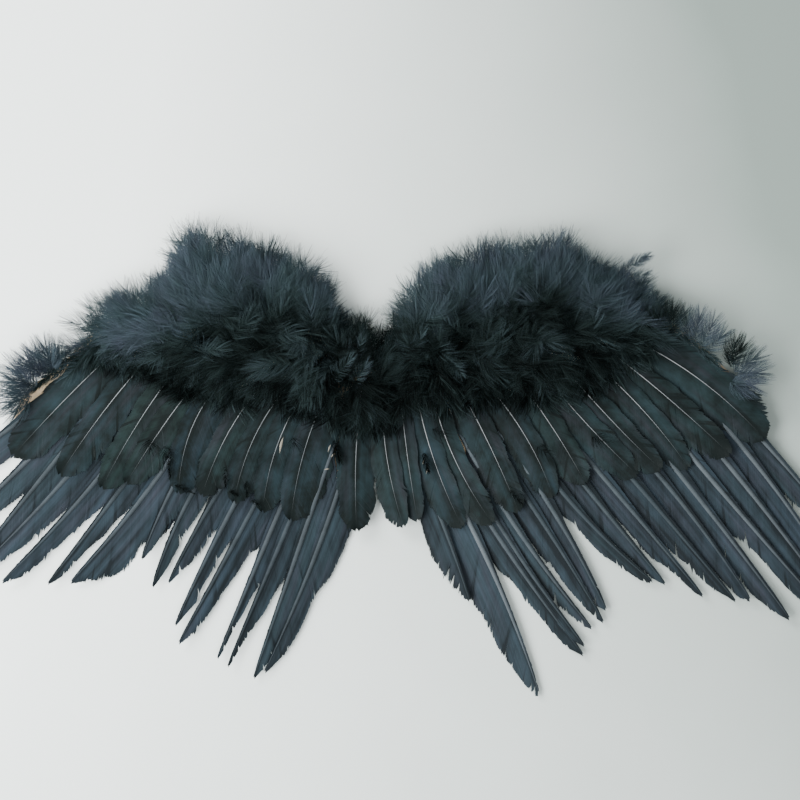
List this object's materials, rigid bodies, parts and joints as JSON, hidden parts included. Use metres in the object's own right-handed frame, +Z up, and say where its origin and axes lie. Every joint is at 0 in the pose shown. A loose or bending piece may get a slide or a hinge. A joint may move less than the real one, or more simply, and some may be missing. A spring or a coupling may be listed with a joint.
{
  "type": "costume angel wings",
  "caption": "Pair of black feather costume wings on one card backing, with layered flight feathers and coverts, a deep marabou trim and elastic shoulder straps.",
  "frame": {"origin": "middle between the wings, on the surface that they lie on", "axes": "+X along the span, +Y towards the top of the wings, +Z up, which is the feathered side"},
  "size_m": [0.9024, 0.4715, 0.0707],
  "materials": {
    "kraft_card": "matt tan card",
    "black_elastic": "ribbed woven elastic",
    "flight_feather": "dyed feather, slate black with a soft sheen",
    "covert_feather": "dyed feather, charcoal with a soft sheen",
    "marabou": "fine downy fluff"
  },
  "bodies": {
    "root": {"backing_card": "kraft_card", "shoulder_strap_left": "black_elastic", "shoulder_strap_right": "black_elastic", "flight_left_01": "flight_feather", "flight_left_02": "flight_feather", "flight_left_03": "flight_feather", "flight_left_04": "flight_feather", "flight_left_05": "flight_feather", "flight_left_06": "flight_feather", "flight_left_07": "flight_feather", "flight_left_08": "flight_feather", "flight_left_09": "flight_feather", "flight_left_10": "flight_feather", "flight_left_11": "flight_feather", "flight_left_12": "flight_feather", "flight_left_13": "flight_feather", "flight_left_14": "flight_feather", "flight_left_15": "flight_feather", "flight_left_16": "flight_feather", "flight_right_01": "flight_feather", "flight_right_02": "flight_feather", "flight_right_03": "flight_feather", "flight_right_04": "flight_feather", "flight_right_05": "flight_feather", "flight_right_06": "flight_feather", "flight_right_07": "flight_feather", "flight_right_08": "flight_feather", "flight_right_09": "flight_feather", "flight_right_10": "flight_feather", "flight_right_11": "flight_feather", "flight_right_12": "flight_feather", "flight_right_13": "flight_feather", "flight_right_14": "flight_feather", "flight_right_15": "flight_feather", "flight_right_16": "flight_feather", "flight_right_17": "flight_feather", "covert_left_01": "covert_feather", "covert_left_02": "covert_feather", "covert_left_03": "covert_feather", "covert_left_04": "covert_feather", "covert_left_05": "covert_feather", "covert_left_06": "covert_feather", "covert_left_07": "covert_feather", "covert_left_08": "covert_feather", "covert_left_09": "covert_feather", "covert_left_10": "covert_feather", "covert_right_01": "covert_feather", "covert_right_02": "covert_feather", "covert_right_03": "covert_feather", "covert_right_04": "covert_feather", "covert_right_05": "covert_feather", "covert_right_06": "covert_feather", "covert_right_07": "covert_feather", "covert_right_08": "covert_feather", "covert_right_09": "covert_feather", "covert_right_10": "covert_feather", "covert_right_11": "covert_feather", "covert_right_12": "covert_feather", "marabou_left": "marabou", "marabou_right": "marabou"}
  },
  "joints": []
}
